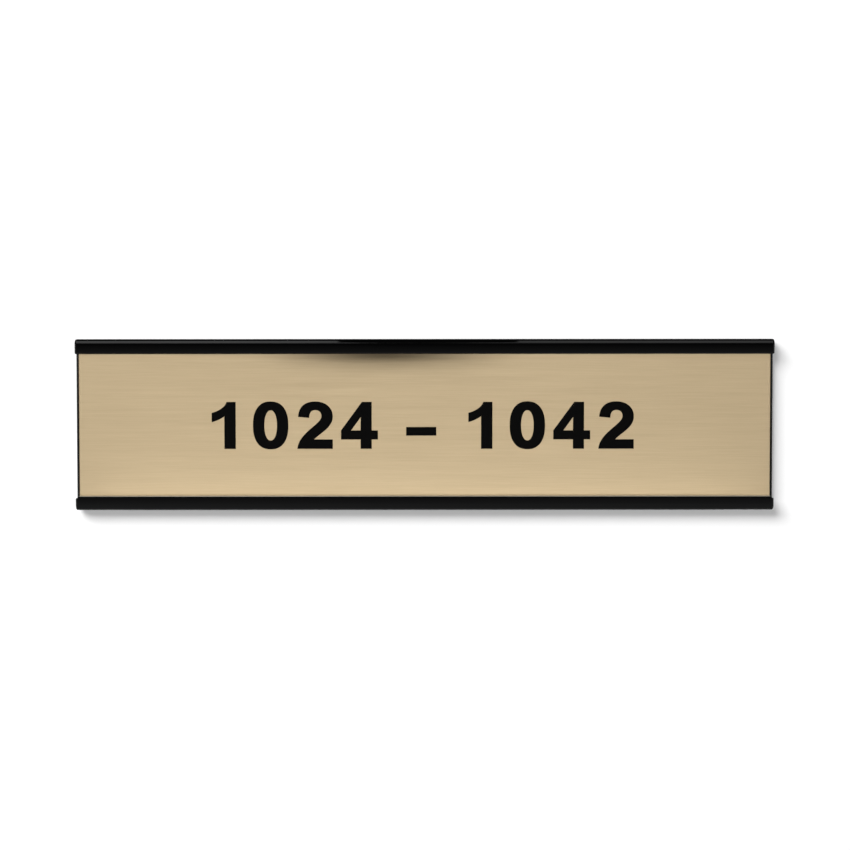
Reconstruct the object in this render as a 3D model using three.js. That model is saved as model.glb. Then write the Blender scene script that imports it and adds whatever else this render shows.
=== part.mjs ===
// Framed wall sign: an engraved plate that slides along an extruded aluminium wall holder.
// Millimetres, +Z up. The front faces -Y and the wall is the plane y = 0.
// The origin is on the wall, behind the middle of the holder.

import * as THREE from 'three';

// Holder: one extrusion with a flat web and a C shaped rail along its top and bottom edge
const holderLength = 203.2;
const holderHeight = 49.8;
const webThickness = 1.3;
const railWallThickness = 1.3;
const railFaceHeight = 4.3;
const lipThickness = 1.4;

// Rounding of the extruded section, and the deburred cut at both ends
const shoulderRadius = 1.8;
const backCornerRadius = 0.5;
const lipEdgeRadius = 0.45;
const slotCornerRadius = 0.25;
const endDeburr = 0.25;

// Engraved plate: a thin metallic face bonded to a dark core
const insertCoreThickness = 1.4;
const insertFaceThickness = 0.2;
const insertCornerRadius = 0.6;

// Clearances of the plate in the holder
const slideClearance = 0.15;
const insertSeatGap = 0.3;
const insertHeadroom = 0.5;
const insertEndMargin = 1.0;

// Foam mounting tape on the back of the web
const tapeThickness = 1.1;
const tapeWidth = 12.7;
const tapeEndInset = 12.7;
const tapeEdgeInset = 4.2;

// Divisions of each rounded corner's arc
const arcDivisions = 6;

// Depths are counted from the wall towards the front
const slotDepth = insertCoreThickness + insertFaceThickness + 2 * slideClearance;
const holderDepth = webThickness + slotDepth + lipThickness;
const insertBackDepth = tapeThickness + webThickness + slideClearance;

const channelHeight = holderHeight - 2 * railWallThickness;
const insertHeight = channelHeight - insertSeatGap - insertHeadroom;
const insertLength = holderLength - 2 * insertEndMargin;
const tapeLength = holderLength - 2 * tapeEndInset;

const blackAnodised = new THREE.MeshStandardMaterial({ color: 0x141416, roughness: 0.34, metalness: 0.6 });
const blackCore = new THREE.MeshStandardMaterial({ color: 0x0d0d0d, roughness: 0.55, metalness: 0.0 });
const brushedGold = new THREE.MeshStandardMaterial({ color: 0xc9ad79, roughness: 0.38, metalness: 0.85 });
const tapeFoam = new THREE.MeshStandardMaterial({ color: 0xd9d8d2, roughness: 0.9, metalness: 0.0 });

// Closed outline through corners given as { y, z, radius }. Each corner is rounded by an arc that
// is tangent to both of its sides, and is kept inside them when a side gets short.
function roundedOutline(corners) {
  const points = corners.map((corner) => new THREE.Vector2(corner.y, corner.z));
  const count = points.length;
  const shape = new THREE.Shape();
  corners.forEach((corner, i) => {
    const here = points[i];
    const toPrevious = points[(i + count - 1) % count].clone().sub(here);
    const toNext = points[(i + 1) % count].clone().sub(here);
    const halfAngle = Math.abs(toPrevious.angleTo(toNext)) / 2;
    const room = 0.48 * Math.min(toPrevious.length(), toNext.length());
    const reach = Math.min(corner.radius / Math.tan(halfAngle), room);
    const radius = reach * Math.tan(halfAngle);
    const start = here.clone().add(toPrevious.setLength(reach));
    const end = here.clone().add(toNext.setLength(reach));
    const bisector = toPrevious.clone().add(toNext).normalize();
    const centre = here.clone().add(bisector.multiplyScalar(radius / Math.sin(halfAngle)));
    const startAngle = start.clone().sub(centre).angle();
    const endAngle = end.clone().sub(centre).angle();
    const turn = THREE.MathUtils.euclideanModulo(endAngle - startAngle, 2 * Math.PI);
    if (i === 0) shape.moveTo(start.x, start.y);
    else shape.lineTo(start.x, start.y);
    shape.absarc(centre.x, centre.y, radius, startAngle, endAngle, turn > Math.PI);
  });
  shape.closePath();
  return shape;
}

// Section of the holder in the YZ plane. y = 0 is the back of the web and the front is at -Y.
// The outline runs anticlockwise seen from +X, starting at the upper corner of the back.
function holderSection() {
  const top = holderHeight / 2;
  const channelTop = channelHeight / 2;
  const lipEnd = top - railFaceHeight;
  const webFront = -webThickness;
  const lipBack = -(webThickness + slotDepth);
  const front = -holderDepth;
  const upperHalf = [
    { y: 0, z: top, radius: backCornerRadius },
    { y: front, z: top, radius: shoulderRadius },
    { y: front, z: lipEnd, radius: lipEdgeRadius },
    { y: lipBack, z: lipEnd, radius: lipEdgeRadius },
    { y: lipBack, z: channelTop, radius: slotCornerRadius },
    { y: webFront, z: channelTop, radius: slotCornerRadius },
  ];
  const lowerHalf = upperHalf.map((corner) => ({ ...corner, z: -corner.z })).reverse();
  return roundedOutline([...upperHalf, ...lowerHalf]);
}

// Extrusion along X, centred on the origin, with its cut ends deburred by a small chamfer
function makeHolder() {
  const geometry = new THREE.ExtrudeGeometry(holderSection(), {
    depth: holderLength - 2 * endDeburr,
    curveSegments: arcDivisions,
    bevelEnabled: true,
    bevelThickness: endDeburr,
    bevelSize: endDeburr,
    bevelOffset: -endDeburr,
    bevelSegments: 1,
  });
  geometry.translate(0, 0, -holderLength / 2 + endDeburr);
  const alongY = new THREE.Vector3(0, 1, 0);
  const alongZ = new THREE.Vector3(0, 0, 1);
  const alongX = new THREE.Vector3(1, 0, 0);
  geometry.applyMatrix4(new THREE.Matrix4().makeBasis(alongY, alongZ, alongX));
  const mesh = new THREE.Mesh(geometry, blackAnodised);
  mesh.name = 'holder';
  mesh.position.y = -tapeThickness;
  return mesh;
}

// Outline of the plate in its own plane, standing on z = 0
function insertOutline() {
  const right = insertLength / 2;
  return roundedOutline([
    { y: -right, z: 0, radius: insertCornerRadius },
    { y: right, z: 0, radius: insertCornerRadius },
    { y: right, z: insertHeight, radius: insertCornerRadius },
    { y: -right, z: insertHeight, radius: insertCornerRadius },
  ]);
}

// One layer of the plate, laid in front of the layers behind it
function makeInsertLayer(name, material, thickness, depthBehind) {
  const geometry = new THREE.ExtrudeGeometry(insertOutline(), {
    depth: thickness,
    curveSegments: arcDivisions,
    bevelEnabled: false,
  });
  const mesh = new THREE.Mesh(geometry, material);
  mesh.name = name;
  mesh.rotation.x = Math.PI / 2;
  mesh.position.y = -depthBehind;
  return mesh;
}

// The plate slides in the channel as one piece and rests on the lower rail's slot
function makeInsert() {
  const group = new THREE.Group();
  group.add(makeInsertLayer('insert_core', blackCore, insertCoreThickness, 0));
  group.add(makeInsertLayer('insert_face', brushedGold, insertFaceThickness, insertCoreThickness));
  group.position.set(0, -insertBackDepth, -channelHeight / 2 + insertSeatGap);
  return group;
}

// A strip of foam tape between the web and the wall, on the upper or the lower side
function makeTape(name, side) {
  const geometry = new THREE.BoxGeometry(tapeLength, tapeThickness, tapeWidth);
  const mesh = new THREE.Mesh(geometry, tapeFoam);
  mesh.name = name;
  const fromMiddle = holderHeight / 2 - tapeEdgeInset - tapeWidth / 2;
  mesh.position.set(0, -tapeThickness / 2, side * fromMiddle);
  return mesh;
}

const sign = new THREE.Group();
sign.add(makeHolder());
sign.add(makeInsert());
sign.add(makeTape('tape_upper', 1));
sign.add(makeTape('tape_lower', -1));

export default sign;
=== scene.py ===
"""Framed wall sign: a brushed gold plate that slides in a black extruded wall holder.

Everything is in metres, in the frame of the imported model: +X along the sign, the wall at y = 0,
the front towards -Y and +Z up.
"""

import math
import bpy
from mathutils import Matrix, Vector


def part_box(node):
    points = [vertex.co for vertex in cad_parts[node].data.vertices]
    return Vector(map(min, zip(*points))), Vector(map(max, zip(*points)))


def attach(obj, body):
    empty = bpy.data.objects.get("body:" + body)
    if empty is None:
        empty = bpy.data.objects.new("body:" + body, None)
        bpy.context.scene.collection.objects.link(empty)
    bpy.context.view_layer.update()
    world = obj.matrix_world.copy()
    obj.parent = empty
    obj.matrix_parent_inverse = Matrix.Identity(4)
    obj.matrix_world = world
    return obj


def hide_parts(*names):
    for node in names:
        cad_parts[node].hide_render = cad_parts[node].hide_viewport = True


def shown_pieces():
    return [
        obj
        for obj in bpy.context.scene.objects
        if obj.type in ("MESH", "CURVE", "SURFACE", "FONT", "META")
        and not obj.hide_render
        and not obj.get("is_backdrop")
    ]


bl_info = {
    "name": "Framed Wall Sign",
    "version": (1, 0, 0),
    "blender": (4, 5, 0),
    "location": "View3D > Sidebar > Wall Sign",
    "description": "Builds a slide-in wall sign with its holder, engraved plate, tape and studio",
    "category": "Object",
}

import bmesh
import bpy
from bpy.props import (
    FloatProperty,
    FloatVectorProperty,
    PointerProperty,
    StringProperty,
)
from mathutils import Matrix, Vector, noise

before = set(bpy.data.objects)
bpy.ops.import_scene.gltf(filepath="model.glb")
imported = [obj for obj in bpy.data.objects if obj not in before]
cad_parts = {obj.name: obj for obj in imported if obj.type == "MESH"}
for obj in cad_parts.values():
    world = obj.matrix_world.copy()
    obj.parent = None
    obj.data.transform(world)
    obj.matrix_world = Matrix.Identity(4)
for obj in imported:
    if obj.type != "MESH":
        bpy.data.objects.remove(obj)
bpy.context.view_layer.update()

HOLDER_LOW, HOLDER_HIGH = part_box("holder")
CORE_LOW, CORE_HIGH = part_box("insert_core")
FACE_LOW, FACE_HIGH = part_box("insert_face")

MM = 0.001


# Settings

def length(name, description, millimetres):
    """A length that a user can change, kept in metres."""
    return FloatProperty(
        name=name, description=description, default=millimetres * MM, unit="LENGTH", precision=5
    )


def share(name, description, default):
    """A plain ratio that a user can change."""
    return FloatProperty(name=name, description=description, default=default, subtype="FACTOR")


def color(name, description, red, green, blue):
    """A colour that a user can change."""
    return FloatVectorProperty(
        name=name, description=description, default=(red, green, blue), subtype="COLOR", min=0, max=1
    )


class HolderSettings(bpy.types.PropertyGroup):
    """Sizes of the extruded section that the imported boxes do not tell, and its finish."""

    slide_clearance: length(
        "Slide Clearance", "Gap between the plate and each side of the channel", 0.15
    )
    rail_wall: length("Rail Wall", "Thickness of the rail's outer wall", 1.3)
    rail_face: length("Rail Face", "Height of the rail seen from the front", 4.3)
    shoulder_radius: length(
        "Shoulder Radius", "Rounding between the front and the outer side of a rail", 1.8
    )
    back_radius: length("Back Radius", "Rounding of the two corners against the wall", 0.5)
    lip_radius: length("Lip Radius", "Rounding of the lip that holds the plate", 0.45)
    slot_radius: length("Slot Radius", "Rounding in the corners of the channel", 0.25)
    end_radius: length("End Radius", "Rounding of the deburred cut at both ends", 0.42)
    lead_in_depth: length("Lead In Depth", "How far the lower lip is filed down at its ends", 0.66)
    lead_in_length: length("Lead In Length", "Length of the filed ends of the lower lip", 1.2)
    die_line: length("Die Line Width", "Width of the fine lines that the die leaves", 0.35)
    skin: color("Anodised Skin", "Colour of the anodised black", 0.0022, 0.0022, 0.0024)
    worn: color("Worn Skin", "Colour where lips and cut ends have rubbed", 0.022, 0.021, 0.02)
    # Pale warm colour on the lower lip's top: partly rubbed metal, partly a painted highlight with a
    # painted reflection of the gold plate.
    bare: color("Bare Metal", "Colour where sliding plates have rubbed the lower lip", 0.94, 0.87, 0.69)


class PlateSettings(bpy.types.PropertyGroup):
    """The two layer plate and the numerals engraved through its face."""

    corner_radius: length("Corner Radius", "Rounding of the plate's four corners", 0.6)
    edge_bevel: length("Edge Bevel", "Bevel round the front edge of the gold face", 0.14)
    back_bevel: length("Back Bevel", "Bevel round the back edge of the core", 0.2)
    numerals: StringProperty(
        name="Numerals",
        description="Plain numbers cut through the gold face",
        default="1024 - 1042",
    )
    numeral_height: length("Numeral Height", "Height of the drawn numerals", 13.3)
    numeral_weight: length("Numeral Weight", "How far the cutter runs outside the drawn lines", 0.2)
    numeral_stretch: share("Numeral Stretch", "Width of a numeral against its drawn width", 1.13)
    numeral_spacing: share("Numeral Spacing", "Gap between numerals, as a share of the height", 0.158)
    word_space: share("Word Space", "Extra gap beside the dash, as a share of the height", 0.381)
    numeral_shift: length("Numeral Shift", "Middle of the line, along X from the sign's middle", -1.0)
    numeral_drop: length("Numeral Drop", "Middle of the line, below the sign's middle", 0.2)
    engraving_depth: length("Engraving Depth", "How far the cutter goes into the core", 0.12)
    engraving_draft: length("Engraving Draft", "How far the cut narrows down to its floor", 0.06)
    brush_line: length("Brush Line Width", "Width of the fine brushed lines", 0.22)
    gold: color("Gold", "Colour of the brushed face", 0.675, 0.528, 0.323)
    dark_gold: color("Dark Gold", "Colour in the deeper brushed lines", 0.62, 0.482, 0.29)
    core: color("Core Black", "Colour of the engraved core", 0.001, 0.001, 0.001)


class TapeSettings(bpy.types.PropertyGroup):
    """The foam tape that holds the sign on the wall."""

    film: length("Film Thickness", "Thickness of the adhesive film on each side of the foam", 0.06)
    ragged: length("Ragged Edge", "How far the knife cut in the foam wanders", 0.12)
    cell: length("Cell Size", "Size of the foam's cells", 0.28)
    foam: color("Foam", "Colour of the foam", 0.72, 0.71, 0.67)
    adhesive: color("Adhesive", "Colour of the adhesive film", 0.69, 0.66, 0.56)


class StageSettings(bpy.types.PropertyGroup):
    """Camera, wall and lights."""

    view_elevation: FloatProperty(
        name="View Elevation",
        description="How far the camera looks down on the sign",
        default=math.radians(2.8),
        subtype="ANGLE",
    )
    view_distance: length("View Distance", "From the camera to the front of the sign", 650)
    view_width: length("View Width", "Width that the picture takes in at the sign", 246.9)
    view_shift: length("View Shift", "Middle of the picture, along X from the sign's middle", 0.12)
    view_lift: length("View Lift", "Middle of the picture, above the sign's middle", -0.02)
    view_roll: FloatProperty(
        name="View Roll",
        description="How far the camera is turned about the line it looks along",
        default=math.radians(0.035),
        subtype="ANGLE",
    )
    floor_drop: length("Floor Drop", "Height of the sign's middle above the floor", 200)
    wall_light: share("Wall Light", "Strength of the lights on the wall", 1.0)
    sign_light: share("Sign Light", "Strength of the lights on the sign", 1.0)
    paint: color("Paint", "Colour of the wall and the floor", 0.9, 0.9, 0.9)


SETTINGS = {
    "wall_sign_holder": HolderSettings,
    "wall_sign_plate": PlateSettings,
    "wall_sign_tape": TapeSettings,
    "wall_sign_stage": StageSettings,
}


# Node building

def socket(sockets, name):
    """The socket of that name that is in use: a Mix node keeps one for each kind of value."""
    return next(item for item in sockets if item.name == name and item.enabled)


def feed(target, value):
    """Link an output to a socket, or set the socket to a plain value."""
    if isinstance(value, bpy.types.NodeSocket):
        target.id_data.links.new(value, target)
    elif isinstance(target.default_value, (int, float)):
        target.default_value = value
    else:
        target.default_value = (*value, 1.0) if len(target.default_value) == 4 else value


class Graph:
    """Adds nodes to a node tree."""

    def __init__(self, tree):
        self.tree = tree

    def add(self, kind, inputs=None, **settings):
        """A node with its settings made and its named inputs fed."""
        node = self.tree.nodes.new(kind)
        for name, value in settings.items():
            setattr(node, name, value)
        for name, value in (inputs or {}).items():
            feed(socket(node.inputs, name), value)
        return node

    def math(self, operation, *values):
        """The result of a Math node."""
        node = self.tree.nodes.new("ShaderNodeMath")
        node.operation = operation
        for target, value in zip(node.inputs, values):
            feed(target, value)
        return node.outputs["Value"]

    def ramp(self, value, start, end, low=0.0, high=1.0):
        """A value carried smoothly from start..end to low..high and held beyond them."""
        limits = {"From Min": start, "From Max": end, "To Min": low, "To Max": high}
        kind = {"interpolation_type": "SMOOTHSTEP"}
        return self.add("ShaderNodeMapRange", {"Value": value, **limits}, **kind).outputs["Result"]

    def blend(self, first, second, amount):
        """A colour between two others."""
        inputs = {"Factor": amount, "A": first, "B": second}
        return socket(self.add("ShaderNodeMix", inputs, data_type="RGBA").outputs, "Result")

    def place(self):
        """The place on the piece, in metres."""
        return self.add("ShaderNodeTexCoord").outputs["Object"]

    def group(self, tree, **inputs):
        """A shared group with this material's own values, named in words joined by underscores."""
        node = self.tree.nodes.new("ShaderNodeGroup")
        node.node_tree = tree
        for name, value in inputs.items():
            feed(node.inputs[name.replace("_", " ").title()], value)
        return node.outputs


def shared_group(**inputs):
    """Turn a function that draws a group into one that builds it once and then hands it out."""

    def wrap(draw):
        name = draw.__name__.replace("_", " ").title()

        def fetch():
            tree = bpy.data.node_groups.get(name)
            if tree is None:
                tree = bpy.data.node_groups.new(name, "ShaderNodeTree")
                for label, default in inputs.items():
                    item = tree.interface.new_socket(
                        label.replace("_", " ").title(), in_out="INPUT", socket_type="NodeSocketFloat"
                    )
                    item.default_value = default
                tree.interface.new_socket("Mask", in_out="OUTPUT", socket_type="NodeSocketFloat")
                graph = Graph(tree)
                mask = draw(graph, graph.add("NodeGroupInput").outputs)
                graph.add("NodeGroupOutput", {"Mask": mask})
            return tree

        return fetch

    return wrap


@shared_group(line_width=0.3 * MM, line_length=30 * MM)
def drawn_lines(graph, given):
    """Fine uneven lines along X, as a die or a brushing belt leaves them."""
    parts = graph.add("ShaderNodeSeparateXYZ", {"Vector": graph.place()}).outputs
    along = graph.math("DIVIDE", parts["X"], given["Line Length"])
    deep = graph.math("DIVIDE", parts["Y"], given["Line Width"])
    across = graph.math("DIVIDE", parts["Z"], given["Line Width"])
    vector = graph.add("ShaderNodeCombineXYZ", {"X": along, "Y": deep, "Z": across}).outputs[0]
    lines = graph.add(
        "ShaderNodeTexNoise", {"Vector": vector, "Scale": 1.0, "Detail": 4.0, "Roughness": 0.6}
    )
    return graph.ramp(lines.outputs["Fac"], start=0.3, end=0.7)


@shared_group(patch_size=2 * MM, amount=0.5)
def edge_wear(graph, given):
    """Patchy rubbing along the edges that the mesh marks."""
    edge = graph.add("ShaderNodeAttribute", attribute_name="edge").outputs["Fac"]
    scale = graph.math("DIVIDE", 1.0, given["Patch Size"])
    patches = graph.add(
        "ShaderNodeTexNoise", {"Vector": graph.place(), "Scale": scale, "Detail": 5.0}
    )
    worn = graph.ramp(patches.outputs["Fac"], start=0.38, end=0.66)
    return graph.math("MULTIPLY", graph.math("MULTIPLY", edge, worn), given["Amount"])


@shared_group(mark_width=0.25 * MM)
def saw_marks(graph, given):
    """Shallow arcs that a saw leaves, only on the faces that look along X."""
    parts = graph.add("ShaderNodeSeparateXYZ", {"Vector": graph.place()}).outputs
    blade_drop = 0.11
    rise = graph.math("ADD", parts["Z"], blade_drop)
    flat = graph.add("ShaderNodeCombineXYZ", {"Y": parts["Y"], "Z": rise}).outputs[0]
    reach = graph.add("ShaderNodeVectorMath", {"Vector": flat}, operation="LENGTH").outputs["Value"]
    turns = graph.math("DIVIDE", reach, given["Mark Width"])
    arcs = graph.add(
        "ShaderNodeTexNoise", {"W": turns, "Scale": 1.0, "Detail": 2.0}, noise_dimensions="1D"
    )
    normal = graph.add("ShaderNodeNewGeometry").outputs["True Normal"]
    lengthwise = graph.add("ShaderNodeSeparateXYZ", {"Vector": normal}).outputs["X"]
    sawn = graph.ramp(graph.math("ABSOLUTE", lengthwise), start=0.8, end=0.95)
    return graph.math("MULTIPLY", graph.ramp(arcs.outputs["Fac"], start=0.35, end=0.65), sawn)


@shared_group(grain_size=0.8 * MM, amount=0.15)
def fine_dust(graph, given):
    """Sparse small specks."""
    scale = graph.math("DIVIDE", 1.0, given["Grain Size"])
    cells = graph.add("ShaderNodeTexVoronoi", {"Vector": graph.place(), "Scale": scale})
    speck = graph.ramp(cells.outputs["Distance"], start=0.06, end=0.02)
    pick = graph.add("ShaderNodeSeparateColor", {"Color": cells.outputs["Color"]}).outputs["Red"]
    rare = graph.math("LESS_THAN", pick, given["Amount"])
    return graph.math("MULTIPLY", speck, rare)


def new_material(name):
    """A material with its graph and its Principled shader."""
    material = bpy.data.materials.new(name)
    material.use_nodes = True
    return material, Graph(material.node_tree), material.node_tree.nodes["Principled BSDF"].inputs


def bump(graph, shader, height, distance):
    """Raise the surface by a height mask, up to a distance."""
    node = graph.add("ShaderNodeBump", {"Height": height, "Distance": distance})
    feed(shader["Normal"], node.outputs["Normal"])


def anodised_material(settings):
    """Black anodised aluminium: satin, with die lines, rubbed lips, sawn ends and a painted highlight
    along the lower lip.
    """
    material, graph, shader = new_material("Black Anodised")
    lines = graph.group(drawn_lines(), line_width=settings.die_line, line_length=120 * MM)["Mask"]
    wear = graph.group(edge_wear(), patch_size=1.6 * MM, amount=0.3)["Mask"]
    saw = graph.group(saw_marks(), mark_width=0.22 * MM)["Mask"]
    dust = graph.group(fine_dust(), grain_size=1.1 * MM, amount=0.05)["Mask"]
    line_tone, line_roughness, line_height = 0.03, 0.05, 0.5
    saw_tone, saw_height = 0.6, 2.0
    base_roughness, rubbed_roughness = 0.1, 0.22
    scratched = graph.math("MAXIMUM", wear, graph.math("MULTIPLY", saw, saw_tone))
    rubbed = graph.math("MAXIMUM", scratched, dust)
    tone = graph.math("ADD", graph.math("MULTIPLY", lines, line_tone), rubbed)
    dark = graph.blend(settings.skin, settings.worn, tone)
    # The lower lip's top is painted pale: partly rubbed metal, partly a painted highlight and painted
    # reflection of the gold plate.
    bare = graph.add("ShaderNodeAttribute", attribute_name="bare").outputs["Fac"]
    feed(shader["Base Color"], graph.blend(dark, settings.bare, bare))
    satin = graph.math("MULTIPLY_ADD", lines, line_roughness, base_roughness)
    feed(shader["Roughness"], graph.math("MULTIPLY_ADD", rubbed, rubbed_roughness, satin))
    grooves = graph.math("MULTIPLY", lines, line_height)
    height = graph.math("ADD", grooves, graph.math("MULTIPLY", saw, saw_height))
    bump(graph, shader, height, 0.002 * MM)
    return material


def gold_material(settings):
    """Gold foil face, brushed along its length under a clear matt film."""
    material, graph, shader = new_material("Brushed Gold")
    fine = graph.group(drawn_lines(), line_width=settings.brush_line, line_length=14 * MM)["Mask"]
    broad = graph.group(drawn_lines(), line_width=5 * settings.brush_line, line_length=60 * MM)["Mask"]
    wear = graph.group(edge_wear(), patch_size=3 * MM, amount=0.5)["Mask"]
    dust = graph.group(fine_dust(), grain_size=1.4 * MM, amount=0.03)["Mask"]
    fine_share, broad_share = 0.62, 0.38
    wear_tone, dust_tone = 0.5, 0.8
    base_roughness, brushed_roughness = 0.5, -0.12
    broad_part = graph.math("MULTIPLY", broad, broad_share)
    brushed = graph.math("MULTIPLY_ADD", fine, fine_share, broad_part)
    lighter = graph.math("ADD", brushed, graph.math("MULTIPLY", wear, wear_tone))
    tone = graph.math("SUBTRACT", lighter, graph.math("MULTIPLY", dust, dust_tone))
    feed(shader["Base Color"], graph.blend(settings.dark_gold, settings.gold, tone))
    feed(shader["Metallic"], 0.6)
    rough = graph.math("MULTIPLY_ADD", brushed, brushed_roughness, base_roughness)
    feed(shader["Roughness"], rough)
    bump(graph, shader, brushed, 0.004 * MM)
    return material


def core_material(settings):
    """Matt black core, with the fine raster of the engraving and the marks of the cut."""
    material, graph, shader = new_material("Engraving Core")
    raster = graph.group(drawn_lines(), line_width=0.12 * MM, line_length=6 * MM)["Mask"]
    saw = graph.group(saw_marks(), mark_width=0.15 * MM)["Mask"]
    dust = graph.group(fine_dust(), grain_size=0.9 * MM, amount=0.08)["Mask"]
    mark_tone, raster_tone = 0.03, 0.004
    base_roughness, raster_roughness = 0.5, 0.15
    scuffed = (0.2, 0.2, 0.2)
    marks = graph.math("MAXIMUM", saw, dust)
    tone = graph.math("MULTIPLY_ADD", marks, mark_tone, graph.math("MULTIPLY", raster, raster_tone))
    feed(shader["Base Color"], graph.blend(settings.core, scuffed, tone))
    feed(shader["Specular IOR Level"], 0.05)
    rough = graph.math("MULTIPLY_ADD", raster, raster_roughness, base_roughness)
    feed(shader["Roughness"], rough)
    bump(graph, shader, graph.math("ADD", raster, saw), 0.006 * MM)
    return material


def foam_material(settings):
    """Closed cell foam, with painted shade in the low grooves between its raised cells."""
    material, graph, shader = new_material("Foam")
    scale = 1 / settings.cell
    cells = graph.add("ShaderNodeTexVoronoi", {"Vector": graph.place(), "Scale": scale})
    # Darker in the low grooves between the raised cells: painted shade; the specks on top are dust.
    walls = graph.ramp(cells.outputs["Distance"], start=0.0, end=0.6)
    dust = graph.group(fine_dust(), grain_size=0.8 * MM, amount=0.1)["Mask"]
    groove_shade_tone, dust_tone = 0.25, 0.5
    base_roughness, wall_roughness = 0.82, 0.1
    shade_and_dust_colour = (0.42, 0.41, 0.37)
    dusty = graph.math("MULTIPLY", dust, dust_tone)
    groove_shade_and_dust = graph.math("ADD", graph.math("MULTIPLY", walls, groove_shade_tone), dusty)
    feed(shader["Base Color"], graph.blend(settings.foam, shade_and_dust_colour, groove_shade_and_dust))
    rough = graph.math("MULTIPLY_ADD", walls, wall_roughness, base_roughness)
    feed(shader["Roughness"], rough)
    bump(graph, shader, graph.math("SUBTRACT", 1.0, walls), 0.06 * MM)
    return material


def adhesive_material(settings):
    """Tacky film with faint lines and small trapped bubbles."""
    material, graph, shader = new_material("Adhesive Film")
    lines = graph.group(drawn_lines(), line_width=0.5 * MM, line_length=25 * MM)["Mask"]
    dust = graph.group(fine_dust(), grain_size=1.6 * MM, amount=0.3)["Mask"]
    bubble_spacing = 1.8 * MM
    scale = 1 / bubble_spacing
    cells = graph.add("ShaderNodeTexVoronoi", {"Vector": graph.place(), "Scale": scale})
    bubbles = graph.ramp(cells.outputs["Distance"], start=0.3, end=0.12)
    line_tone, line_height = 0.12, 0.3
    bubble_tone, bubble_roughness = 0.22, 0.25
    base_roughness = 0.2
    pale = (0.8, 0.79, 0.74)
    tone = graph.math("MULTIPLY_ADD", lines, line_tone, graph.math("MULTIPLY", bubbles, bubble_tone))
    feed(shader["Base Color"], graph.blend(settings.adhesive, pale, graph.math("ADD", tone, dust)))
    rough = graph.math("MULTIPLY_ADD", bubbles, bubble_roughness, base_roughness)
    feed(shader["Roughness"], rough)
    height = graph.math("ADD", graph.math("MULTIPLY", lines, line_height), bubbles)
    bump(graph, shader, height, 0.02 * MM)
    return material


# Shapes

# Straight steps in the arc of each rounded corner
SECTION_STEPS = 12
PLATE_STEPS = 8


def rounded_outline(corners, steps):
    """Points of a closed outline through (u, v, radius) corners, each rounded by a tangent arc."""
    points = []
    for i, (u, v, radius) in enumerate(corners):
        here = Vector((u, v))
        before = (Vector(corners[i - 1][:2]) - here).normalized()
        after = (Vector(corners[(i + 1) % len(corners)][:2]) - here).normalized()
        half = before.angle(after) / 2
        reach = radius / math.tan(half)
        centre = here + (before + after).normalized() * radius / math.sin(half)
        start = here + before * reach - centre
        end = here + after * reach - centre
        sweep = -start.angle_signed(end)
        for step in range(steps + 1):
            points.append(centre + Matrix.Rotation(sweep * step / steps, 2) @ start)
    return points


def bridge(bm, first, second):
    """Quads between two closed rings of as many vertices."""
    for i in range(len(first)):
        bm.faces.new((first[i - 1], first[i], second[i], second[i - 1])).smooth = True


def finish_mesh(bm, name, **marked):
    """Turn the faces out and hand the mesh over, with each set of marked vertices as an attribute."""
    bm.verts.index_update()
    marked = {label: [vert.index for vert in verts] for label, verts in marked.items()}
    bmesh.ops.recalc_face_normals(bm, faces=bm.faces)
    mesh = bpy.data.meshes.new(name)
    bm.to_mesh(mesh)
    bm.free()
    for label, indices in marked.items():
        marks = mesh.attributes.new(label, "FLOAT", "POINT")
        for index in indices:
            marks.data[index].value = 1.0
    return mesh


def add_piece(mesh, material, node, body):
    """Put a mesh in the scene in place of a node, with its finish and the body that carries it."""
    sharpest_smooth = math.radians(30)
    piece = bpy.data.objects.new(mesh.name, mesh)
    bpy.context.scene.collection.objects.link(piece)
    mesh.materials.append(material)
    mesh.set_sharp_from_angle(angle=sharpest_smooth)
    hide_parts(node)
    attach(piece, body)


def holder_section(settings, inset):
    """Outline of the extrusion in the YZ plane, drawn in by inset all round."""
    back = HOLDER_HIGH.y
    front = HOLDER_LOW.y
    top = HOLDER_HIGH.z
    web_front = CORE_HIGH.y + settings.slide_clearance
    lip_back = FACE_LOW.y - settings.slide_clearance
    channel_top = top - settings.rail_wall
    lip_end = top - settings.rail_face
    upper = [
        (back - inset, top - inset, settings.back_radius - inset),
        (front + inset, top - inset, settings.shoulder_radius - inset),
        (front + inset, lip_end + inset, settings.lip_radius - inset),
        (lip_back - inset, lip_end + inset, settings.lip_radius - inset),
        (lip_back - inset, channel_top + inset, settings.slot_radius + inset),
        (web_front + inset, channel_top + inset, settings.slot_radius + inset),
    ]
    lower = [(y, -z, radius) for y, z, radius in reversed(upper)]
    return rounded_outline(upper + lower, SECTION_STEPS)


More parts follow.
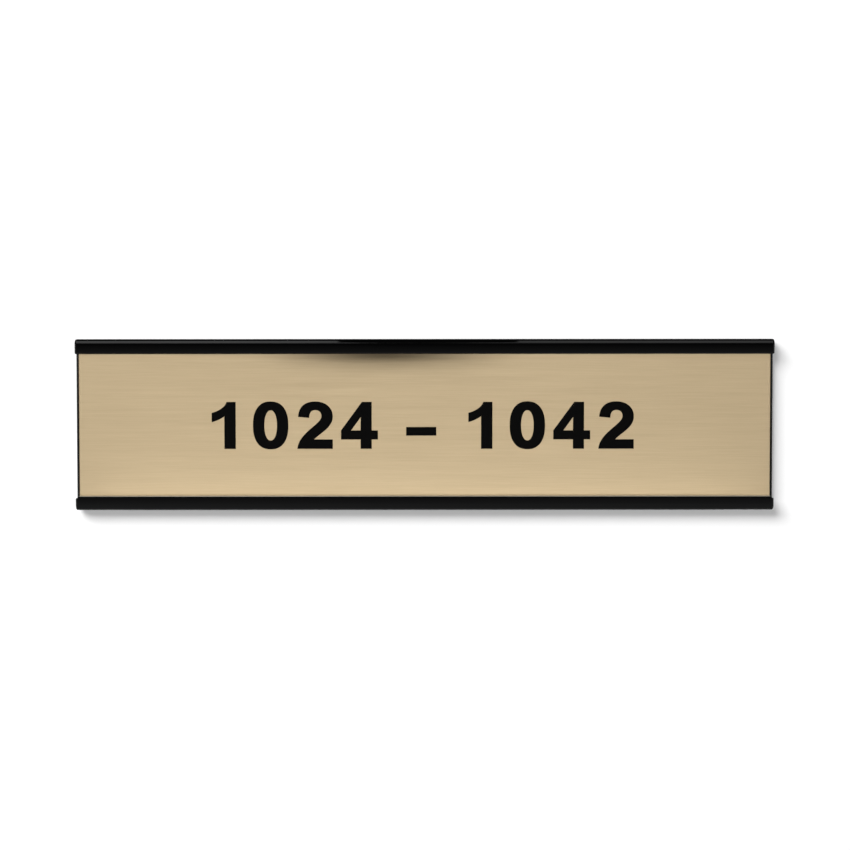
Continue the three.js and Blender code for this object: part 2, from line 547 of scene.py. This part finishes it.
def holder_mesh(settings):
    """The section swept along X, rounded over at both sawn ends, its lower lip filed down there."""
    radius = settings.end_radius
    steps = 4
    half = HOLDER_HIGH.x
    turns = [math.pi / 2 * step / steps for step in range(steps, -1, -1)]
    stations = [(half - radius + radius * math.sin(t), radius * (1 - math.cos(t))) for t in turns]
    rounded = len(stations)
    slope = settings.lead_in_length - radius
    stations += [(half - radius - slope * step / steps, 0.0) for step in range(1, steps + 1)]
    last = len(stations) - 1
    bm = bmesh.new()
    rings = []
    edges = []
    bare = []
    lip_end = HOLDER_HIGH.z - settings.rail_face
    rail_middle = HOLDER_HIGH.z - settings.rail_face / 2
    handled = lip_end + 0.8 * settings.lip_radius
    lip_rub_and_highlight_reach = 0.6 * settings.lip_radius
    for side in (-1, 1):
        made = []
        for i, (x, inset) in enumerate(stations):
            along = max(0.0, half - radius - x) / slope
            filed = settings.lead_in_depth * (1 + math.cos(math.pi * along)) / 2
            outline = holder_section(settings, inset)
            ring = [bm.verts.new((side * x, point.x, point.y)) for point in outline]
            for vert in ring:
                on_lip = vert.co.y < FACE_LOW.y
                if i < rounded or on_lip and abs(vert.co.z) < handled:
                    edges.append(vert)
                # Marks the lower lip's top for its pale colour: partly rubbing, partly a painted
                # highlight.
                if i == last and on_lip and abs(vert.co.z + lip_end) < lip_rub_and_highlight_reach:
                    bare.append(vert)
                if on_lip and -rail_middle < vert.co.z < 0:
                    vert.co.z -= filed
            made.append(ring)
        rings += made if side < 0 else reversed(made)
    for ring, following in zip(rings, rings[1:]):
        bridge(bm, ring, following)
    bm.faces.new(rings[0])
    bm.faces.new(rings[-1])
    return finish_mesh(bm, "holder_extrusion", edge=edges, bare=bare)


class WALLSIGN_OT_holder(bpy.types.Operator):
    """Build the black anodised holder as one extrusion"""

    bl_idname = "wall_sign.holder"
    bl_label = "Holder"

    def execute(self, context):
        settings = context.scene.wall_sign_holder
        material = anodised_material(settings)
        add_piece(holder_mesh(settings), material, "holder", "holder_body")
        return {"FINISHED"}


# Numerals

class Pen:
    """Draws closed loops of straight lines and curves. One unit is the height of a numeral."""

    CURVE_STEPS = 14

    def __init__(self):
        self.loops = []

    def start(self, x, z):
        self.loops.append([Vector((x, z))])
        return self

    def line(self, *ends):
        self.loops[-1] += [Vector(end) for end in ends]
        return self

    def curve(self, leaving, arriving, end):
        """A curve that leaves towards one handle and arrives from the other."""
        begin, leaving, arriving, end = self.loops[-1][-1], *map(Vector, (leaving, arriving, end))
        for step in range(1, self.CURVE_STEPS + 1):
            t = step / self.CURVE_STEPS
            s = 1 - t
            point = s**3 * begin + 3 * s * s * t * leaving + 3 * s * t * t * arriving + t**3 * end
            self.loops[-1].append(point)
        return self

    def oval(self, middle, half_width, half_height, squareness):
        """A closed oval, fuller than an ellipse where squareness is above 2."""
        steps = 4 * self.CURVE_STEPS
        loop = []
        for step in range(steps):
            turn = 2 * math.pi * step / steps
            c, s = math.cos(turn), math.sin(turn)
            x = math.copysign(abs(c) ** (2 / squareness), c) * half_width
            z = math.copysign(abs(s) ** (2 / squareness), s) * half_height
            loop.append(Vector(middle) + Vector((x, z)))
        self.loops.append(loop)
        return self


def draw_zero(pen):
    pen.oval((0.36, 0.5), 0.33, 0.51, 2.35)
    pen.oval((0.36, 0.5), 0.135, 0.345, 2.2)


def draw_one(pen):
    pen.start(0.53, 0.0).line((0.53, 1.0), (0.375, 1.0))
    pen.curve((0.34, 0.89), (0.22, 0.80), (0.09, 0.765)).line((0.09, 0.59))
    pen.curve((0.18, 0.62), (0.27, 0.665), (0.335, 0.73)).line((0.335, 0.0))


def draw_two(pen):
    pen.start(0.03, 0.0).line((0.69, 0.0), (0.69, 0.178), (0.315, 0.178))
    pen.curve((0.36, 0.245), (0.44, 0.305), (0.53, 0.39))
    pen.curve((0.64, 0.49), (0.69, 0.585), (0.69, 0.70))
    pen.curve((0.69, 0.885), (0.555, 1.01), (0.365, 1.01))
    pen.curve((0.175, 1.01), (0.06, 0.905), (0.045, 0.70)).line((0.235, 0.68))
    pen.curve((0.24, 0.795), (0.285, 0.85), (0.365, 0.85))
    pen.curve((0.445, 0.85), (0.495, 0.795), (0.495, 0.71))
    pen.curve((0.495, 0.635), (0.465, 0.59), (0.325, 0.455))
    pen.curve((0.145, 0.285), (0.05, 0.165), (0.03, 0.0))
    # The last curve ends on the first point, which is kept only once
    pen.loops[-1].pop()


def draw_four(pen):
    pen.start(0.395, 0.0).line((0.585, 0.0), (0.585, 0.205), (0.705, 0.205), (0.705, 0.375))
    pen.line((0.585, 0.375), (0.585, 1.0), (0.415, 1.0), (0.015, 0.385), (0.015, 0.205))
    pen.line((0.395, 0.205))
    pen.start(0.395, 0.375).line((0.395, 0.715), (0.175, 0.375))


def draw_dash(pen):
    pen.start(0.08, 0.29).line((0.64, 0.29), (0.64, 0.45), (0.08, 0.45))


GLYPHS = {"0": draw_zero, "1": draw_one, "2": draw_two, "4": draw_four, "-": draw_dash}
GLYPH_WIDTH = 0.72


def turned(loop, anticlockwise):
    """The same loop, run the way round that is asked for."""
    area = sum(loop[i - 1].cross(loop[i]) for i in range(len(loop)))
    return loop if (area > 0) == anticlockwise else loop[::-1]


def drawn_in(loop, distance):
    """The loop moved to its left hand side by a distance, with mitred corners."""
    mitre_limit = 0.4
    moved = []
    for i, point in enumerate(loop):
        before = (point - loop[i - 1]).normalized()
        after = (loop[(i + 1) % len(loop)] - point).normalized()
        left = before.orthogonal() + after.orthogonal()
        reach = distance / max(mitre_limit, left.normalized().dot(before.orthogonal()))
        moved.append(point + left.normalized() * reach)
    return moved


def numeral_loops(settings):
    """Loops of the whole engraved line, as (x, z) points, with the cut on their left hand side."""
    height = settings.numeral_height
    stretch = settings.numeral_stretch
    loops = []
    advance = 0.0
    for glyph in settings.numerals:
        if glyph in GLYPHS:
            pen = Pen()
            GLYPHS[glyph](pen)
            for i, loop in enumerate(pen.loops):
                moved = [Vector((point.x * stretch + advance, point.y)) for point in loop]
                loops.append(turned(moved, anticlockwise=i == 0))
            advance += GLYPH_WIDTH * stretch + settings.numeral_spacing
        else:
            advance += settings.word_space
    width = advance - settings.numeral_spacing
    middle = Vector((width / 2, 0.5))
    shift = Vector((settings.numeral_shift, -settings.numeral_drop))
    placed = [[(point - middle) * height + shift for point in loop] for loop in loops]
    return [drawn_in(loop, -settings.numeral_weight) for loop in placed]


# Plate

def add_ring(bm, loop, y):
    """A closed ring of vertices at one depth."""
    return [bm.verts.new((point[0], y, point[1])) for point in loop]


def fill(bm, *rings):
    """Close the area between an outer ring and the rings inside it."""
    edges = []
    for ring in rings:
        for i in range(len(ring)):
            pair = (ring[i - 1], ring[i])
            edges.append(bm.edges.get(pair) or bm.edges.new(pair))
    bmesh.ops.triangle_fill(bm, use_beauty=True, use_dissolve=False, edges=edges)


def plate_outline(settings, inset):
    """The plate seen from the front, drawn in by inset."""
    low, high = FACE_LOW, FACE_HIGH
    radius = settings.corner_radius - inset
    corners = [
        (low.x + inset, low.z + inset, radius),
        (high.x - inset, low.z + inset, radius),
        (high.x - inset, high.z - inset, radius),
        (low.x + inset, high.z - inset, radius),
    ]
    return rounded_outline(corners, PLATE_STEPS)


def core_mesh(settings):
    """The black core, with a pocket under every numeral."""
    back, front = CORE_HIGH.y, CORE_LOW.y
    bevel = settings.back_bevel
    bm = bmesh.new()
    inner_back = add_ring(bm, plate_outline(settings, bevel), back)
    outer_back = add_ring(bm, plate_outline(settings, 0), back - bevel)
    outer_front = add_ring(bm, plate_outline(settings, 0), front)
    bridge(bm, inner_back, outer_back)
    bridge(bm, outer_back, outer_front)
    fill(bm, inner_back)
    rims = []
    floors = []
    for loop in numeral_loops(settings):
        rims.append(add_ring(bm, loop, front))
        floor = drawn_in(loop, settings.engraving_draft)
        floors.append(add_ring(bm, floor, front + settings.engraving_depth))
        bridge(bm, rims[-1], floors[-1])
    fill(bm, outer_front, *rims)
    fill(bm, *floors)
    return finish_mesh(bm, "plate_core")


def face_mesh(settings):
    """The gold face, bevelled round its front edge, with every numeral cut through."""
    back, front = FACE_HIGH.y, FACE_LOW.y
    bevel = settings.edge_bevel
    bm = bmesh.new()
    outer_back = add_ring(bm, plate_outline(settings, 0), back)
    outer_front = add_ring(bm, plate_outline(settings, 0), front + bevel)
    bevelled = add_ring(bm, plate_outline(settings, bevel), front)
    inner = add_ring(bm, plate_outline(settings, 2 * bevel), front)
    bridge(bm, outer_back, outer_front)
    bridge(bm, outer_front, bevelled)
    bridge(bm, bevelled, inner)
    cut_back = []
    cut_front = []
    for loop in numeral_loops(settings):
        cut_back.append(add_ring(bm, loop, back))
        cut_front.append(add_ring(bm, loop, front))
        bridge(bm, cut_back[-1], cut_front[-1])
    fill(bm, outer_back, *cut_back)
    fill(bm, inner, *cut_front)
    return finish_mesh(bm, "plate_face", edge=outer_front + bevelled)


class WALLSIGN_OT_plate(bpy.types.Operator):
    """Build the plate's black core and its gold face with the numerals cut through"""

    bl_idname = "wall_sign.plate"
    bl_label = "Engraved Plate"

    def execute(self, context):
        settings = context.scene.wall_sign_plate
        black = core_material(settings)
        gold = gold_material(settings)
        add_piece(core_mesh(settings), black, "insert_core", "insert")
        add_piece(face_mesh(settings), gold, "insert_face", "insert")
        return {"FINISHED"}


# Foam tape

def strip_outline(low, high, ragged, depth):
    """Points round a strip of tape, drawn in unevenly as a knife leaves it."""
    spacing = 0.7 * MM
    wander = 1.7 * MM
    slant = 3
    corners = [(low.x, low.z), (high.x, low.z), (high.x, high.z), (low.x, high.z)]
    points = []
    for i, end in enumerate(corners):
        start, end = Vector(corners[i - 1]), Vector(end)
        side = (end - start).normalized()
        inward = side.orthogonal()
        count = round((end - start).length / spacing)
        for step in range(count):
            point = start + side * (step + 0.5) / count * (end - start).length
            wave = noise.noise(Vector((point.x, depth * slant, point.y)) / wander)
            points.append(point + inward * ragged * (0.5 + 0.5 * wave))
    return points


def strip_mesh(name, low, high, ragged, rows):
    """A strip between two depths, with rows of vertices down its cut sides."""
    bm = bmesh.new()
    rings = []
    for row in range(rows + 1):
        depth = low.y + (high.y - low.y) * row / rows
        rings.append(add_ring(bm, strip_outline(low, high, ragged, depth), depth))
    for ring, following in zip(rings, rings[1:]):
        bridge(bm, ring, following)
    fill(bm, rings[0])
    fill(bm, rings[-1])
    return finish_mesh(bm, name)


class WALLSIGN_OT_tape(bpy.types.Operator):
    """Build the two foam tape strips on the back, each as foam between two films"""

    bl_idname = "wall_sign.tape"
    bl_label = "Foam Tape"

    def execute(self, context):
        settings = context.scene.wall_sign_tape
        foam = foam_material(settings)
        adhesive = adhesive_material(settings)
        film_ragged = settings.ragged / 4
        film_rows, foam_rows = 1, 6
        for node in ("tape_upper", "tape_lower"):
            low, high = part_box(node)
            inner, outer = low.y + settings.film, high.y - settings.film
            layers = (
                ("holder_film", low.y, inner, adhesive, film_ragged, film_rows),
                ("foam", inner, outer, foam, settings.ragged, foam_rows),
                ("wall_film", outer, high.y, adhesive, film_ragged, film_rows),
            )
            for layer, front, back, material, ragged, rows in layers:
                start = Vector((low.x, front, low.z))
                end = Vector((high.x, back, high.z))
                mesh = strip_mesh(f"{node}_{layer}", start, end, ragged, rows)
                add_piece(mesh, material, node, "holder_body")
        return {"FINISHED"}


# Studio

def stage_sheet(name, x_ends, near, far, material):
    """A flat part of the studio, from one (y, z) line to another."""
    left, right = x_ends
    corners = [(left, *near), (right, *near), (right, *far), (left, *far)]
    mesh = bpy.data.meshes.new(name)
    mesh.from_pydata(corners, [], [range(4)])
    mesh.materials.append(material)
    piece = bpy.data.objects.new(name, mesh)
    bpy.context.scene.collection.objects.link(piece)
    piece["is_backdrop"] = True
    return piece


def collect(name, objects):
    """A collection that only lights refer to."""
    collection = bpy.data.collections.new(name)
    for item in objects:
        collection.objects.link(item)
    return collection


def softbox(name, azimuth, elevation, distance, size, radiance, receivers, blockers, aside=0.0):
    """A rectangular light that faces the sign, or stands aside from there along its own width.

    Azimuth is from the front, to the right.
    """
    data = bpy.data.lights.new(name, "AREA")
    data.shape = "RECTANGLE"
    data.size, data.size_y = size
    data.energy = radiance * math.pi * size[0] * size[1]
    lamp = bpy.data.objects.new(name, data)
    bpy.context.scene.collection.objects.link(lamp)
    turn, rise = math.radians(azimuth), math.radians(elevation)
    away = Vector((math.sin(turn) * math.cos(rise), -math.cos(turn) * math.cos(rise), math.sin(rise)))
    sideways = Vector((math.cos(turn), math.sin(turn), 0.0))
    lamp.location = away * distance + sideways * aside
    lamp.rotation_euler = away.to_track_quat("Z", "Y").to_euler()
    lamp.visible_camera = False
    lamp.light_linking.receiver_collection = receivers
    lamp.light_linking.blocker_collection = blockers


def paint_material(settings):
    """Matt paint that lets light and views through from behind."""
    material, graph, shader = new_material("Studio Paint")
    grains_per_metre = 900.0
    grain = graph.add(
        "ShaderNodeTexNoise", {"Vector": graph.place(), "Scale": grains_per_metre, "Detail": 3.0}
    )
    feed(shader["Base Color"], settings.paint)
    feed(shader["Roughness"], 0.9)
    feed(shader["Specular IOR Level"], 0.0)
    bump(graph, shader, grain.outputs["Fac"], 0.01 * MM)
    output = material.node_tree.nodes["Material Output"]
    behind = graph.add("ShaderNodeNewGeometry").outputs["Backfacing"]
    shadow = graph.add("ShaderNodeLightPath").outputs["Is Shadow Ray"]
    clear = graph.add("ShaderNodeBsdfTransparent").outputs["BSDF"]
    cover = graph.add("ShaderNodeMixShader")
    feed(cover.inputs["Fac"], graph.math("MAXIMUM", behind, shadow))
    paint = material.node_tree.nodes["Principled BSDF"].outputs["BSDF"]
    material.node_tree.links.new(paint, cover.inputs[1])
    material.node_tree.links.new(clear, cover.inputs[2])
    material.node_tree.links.new(cover.outputs[0], output.inputs["Surface"])
    return material


def matt_black(name):
    """A matt black material, with its graph and its Principled shader."""
    material, graph, shader = new_material(name)
    feed(shader["Base Color"], (0.0, 0.0, 0.0))
    feed(shader["Roughness"], 1.0)
    feed(shader["Specular IOR Level"], 0.0)
    return material, graph, shader


def scrim_material(middle, half_width, half_height):
    """Black gauze, dense in the middle and thinning out to all sides."""
    falloff = 3.5
    material, graph, shader = matt_black("Graded Scrim")
    parts = graph.add("ShaderNodeSeparateXYZ", {"Vector": graph.place()}).outputs
    aside = graph.math("ABSOLUTE", graph.math("SUBTRACT", parts["X"], middle[0]))
    below = graph.math("MAXIMUM", graph.math("SUBTRACT", middle[1], parts["Z"]), 0.0)
    rising = graph.math("SUBTRACT", 1.0, graph.math("DIVIDE", below, half_height))
    density = graph.math("POWER", graph.math("MAXIMUM", rising, 0.0), falloff)
    fading = graph.ramp(aside, start=0.0, end=half_width, low=1.0, high=0.0)
    feed(shader["Alpha"], graph.math("MULTIPLY", density, fading))
    return material


def studio_air():
    """Dim air that is darkest overhead, and plain white where the camera looks past the set."""
    world = bpy.data.worlds.new("Studio Air")
    world.use_nodes = True
    graph = Graph(world.node_tree)
    direction = graph.add("ShaderNodeTexCoord").outputs["Generated"]
    height = graph.add("ShaderNodeSeparateXYZ", {"Vector": direction}).outputs["Z"]
    glow = graph.ramp(height, start=0.12, end=-0.25, low=0.02, high=0.23)
    seen = graph.add("ShaderNodeLightPath").outputs["Is Camera Ray"]
    background = world.node_tree.nodes["Background"].inputs
    feed(background["Color"], (1.0, 1.0, 1.0))
    feed(background["Strength"], graph.math("MAXIMUM", glow, seen))
    return world


class WALLSIGN_OT_stage(bpy.types.Operator):
    """Build the wall, the floor, the lights and the camera"""

    bl_idname = "wall_sign.stage"
    bl_label = "Studio"

    def execute(self, context):
        settings = context.scene.wall_sign_stage
        context.scene.view_settings.view_transform = "Standard"
        context.scene.world = studio_air()
        wall, floor = self.add_set(settings)
        self.add_lights(settings, wall, floor)
        self.add_camera(settings)
        return {"FINISHED"}

    def add_set(self, settings):
        """The wall that the sign is taped to and the floor under it."""
        paint = paint_material(settings)
        wall_reach, floor_reach = 1.2, 2.0
        gap = 0.1 * MM
        drop = -settings.floor_drop
        wall_ends = (-wall_reach, wall_reach)
        floor_ends = (-floor_reach, floor_reach)
        wall = stage_sheet("studio_wall", wall_ends, (gap, drop), (gap, wall_reach), paint)
        near, far = (-floor_reach, drop), (floor_reach, drop)
        floor = stage_sheet("studio_floor", floor_ends, near, far, paint)
        for item in (wall, floor):
            item.visible_glossy = False
            item.visible_diffuse = False
        return wall, floor

    def add_flags(self):
        """A card and a gauze that keep the lights off the top middle of the sign."""
        hood_ends = (-26 * MM, 28 * MM)
        hood_height = 45 * MM
        hood_front, hood_back = -22 * MM, 3 * MM
        near, far = (hood_front, hood_height), (hood_back, hood_height)
        card = matt_black("Black Card")[0]
        hood = stage_sheet("hood", hood_ends, near, far, card)
        middle = (-12.5 * MM, 20 * MM)
        half_width, half_height = 45 * MM, 11 * MM
        scrim_depth = -9 * MM
        scrim_ends = (middle[0] - half_width, middle[0] + half_width)
        low, high = (scrim_depth, middle[1] - half_height), (scrim_depth, middle[1] + half_height)
        gauze = scrim_material(middle, half_width, half_height)
        scrim = stage_sheet("scrim", scrim_ends, low, high, gauze)
        for item in (hood, scrim):
            item.visible_camera = False
            item.visible_diffuse = False
            item.visible_glossy = False
        return hood, scrim

    def add_lights(self, settings, wall, floor):
        """Key and front light on the wall, a light on the floor, and boxes round the sign."""
        set_light = settings.wall_light
        sign_light = settings.sign_light
        hood, scrim = self.add_flags()
        pieces = collect("sign_pieces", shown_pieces())
        plate = collect("plate_pieces", [bpy.data.objects["plate_face"], bpy.data.objects["plate_core"]])
        holder = collect("holder_piece", [bpy.data.objects["holder_extrusion"]])
        under_hood = collect("pieces_and_hood", [*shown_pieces(), hood])
        behind_scrim = collect("pieces_and_scrim", [*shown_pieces(), scrim])
        wall_only = collect("wall_only", [wall])
        floor_only = collect("floor_only", [floor])
        softbox(
            "wall_key", azimuth=-33, elevation=31.5, distance=3.0, size=(2.1, 1.5),
            radiance=10.8 * set_light, receivers=wall_only, blockers=pieces,
        )
        softbox(
            "wall_front", azimuth=-2, elevation=3, distance=3.0, size=(0.45, 0.45),
            radiance=48 * set_light, receivers=wall_only, blockers=pieces,
        )
        softbox(
            "floor_key", azimuth=0, elevation=60, distance=4.0, size=(4.0, 4.0),
            radiance=9.0 * set_light, receivers=floor_only, blockers=pieces,
        )
        softbox(
            "left_box", azimuth=0, elevation=67, distance=0.66, size=(0.27, 0.6),
            radiance=1.1 * sign_light, receivers=pieces, blockers=under_hood, aside=-0.175,
        )
        softbox(
            "right_box", azimuth=0, elevation=67, distance=0.66, size=(0.27, 0.6),
            radiance=0.7 * sign_light, receivers=pieces, blockers=under_hood, aside=0.165,
        )
        softbox(
            "left_side", azimuth=-45, elevation=4, distance=2.0, size=(1.6, 0.3),
            radiance=9.6 * sign_light, receivers=plate, blockers=behind_scrim,
        )
        softbox(
            "right_side", azimuth=45, elevation=4, distance=2.0, size=(1.6, 0.3),
            radiance=5.3 * sign_light, receivers=plate, blockers=behind_scrim,
        )
        softbox(
            "left_sheen", azimuth=-48, elevation=4, distance=1.5, size=(0.8, 1.0),
            radiance=1.2 * sign_light, receivers=holder, blockers=pieces,
        )
        softbox(
            "right_sheen", azimuth=48, elevation=4, distance=1.5, size=(0.8, 1.0),
            radiance=0.8 * sign_light, receivers=holder, blockers=pieces,
        )
        softbox(
            "front_box", azimuth=0, elevation=4, distance=1.5, size=(0.5, 0.2),
            radiance=6.7 * sign_light, receivers=plate, blockers=behind_scrim,
        )
        softbox(
            "lower_fill", azimuth=0, elevation=-41, distance=0.046, size=(0.2, 0.008),
            radiance=2.05 * sign_light, receivers=plate, blockers=pieces,
        )
        softbox(
            "back_left", azimuth=-145, elevation=-10, distance=0.9, size=(0.7, 0.4),
            radiance=2.0 * sign_light, receivers=pieces, blockers=pieces,
        )
        softbox(
            "back_right", azimuth=145, elevation=-10, distance=0.9, size=(0.7, 0.4),
            radiance=2.0 * sign_light, receivers=pieces, blockers=pieces,
        )

    def add_camera(self, settings):
        """The camera stands before the sign and looks slightly down on it."""
        camera = bpy.data.objects.new("camera", bpy.data.cameras.new("camera"))
        bpy.context.scene.collection.objects.link(camera)
        rise = settings.view_elevation
        away = Vector((0.0, -math.cos(rise), math.sin(rise)))
        middle = Vector((settings.view_shift, HOLDER_LOW.y, settings.view_lift))
        camera.location = middle + away * settings.view_distance
        camera.rotation_euler = (math.pi / 2 - rise, settings.view_roll, 0.0)
        camera.data.sensor_width = 36.0
        camera.data.lens = camera.data.sensor_width * settings.view_distance / settings.view_width
        bpy.context.scene.camera = camera


STEPS = (WALLSIGN_OT_holder, WALLSIGN_OT_plate, WALLSIGN_OT_tape, WALLSIGN_OT_stage)


class VIEW3D_PT_wall_sign(bpy.types.Panel):
    """Lists the sizes and the steps that build the sign"""

    bl_label = "Framed Wall Sign"
    bl_space_type = "VIEW_3D"
    bl_region_type = "UI"
    bl_category = "Wall Sign"

    def draw(self, context):
        for step, (name, settings) in zip(STEPS, SETTINGS.items()):
            column = self.layout.column(align=True)
            for item in settings.__annotations__:
                column.prop(getattr(context.scene, name), item)
            column.operator(step.bl_idname)


def register():
    for cls in (*SETTINGS.values(), *STEPS, VIEW3D_PT_wall_sign):
        bpy.utils.register_class(cls)
    for name, cls in SETTINGS.items():
        setattr(bpy.types.Scene, name, PointerProperty(type=cls))


def unregister():
    for name in SETTINGS:
        delattr(bpy.types.Scene, name)
    for cls in (VIEW3D_PT_wall_sign, *reversed(STEPS), *reversed(SETTINGS.values())):
        bpy.utils.unregister_class(cls)


def main():
    register()
    bpy.ops.wall_sign.holder()
    bpy.ops.wall_sign.plate()
    bpy.ops.wall_sign.tape()
    bpy.ops.wall_sign.stage()


if __name__ == "__main__":
    main()
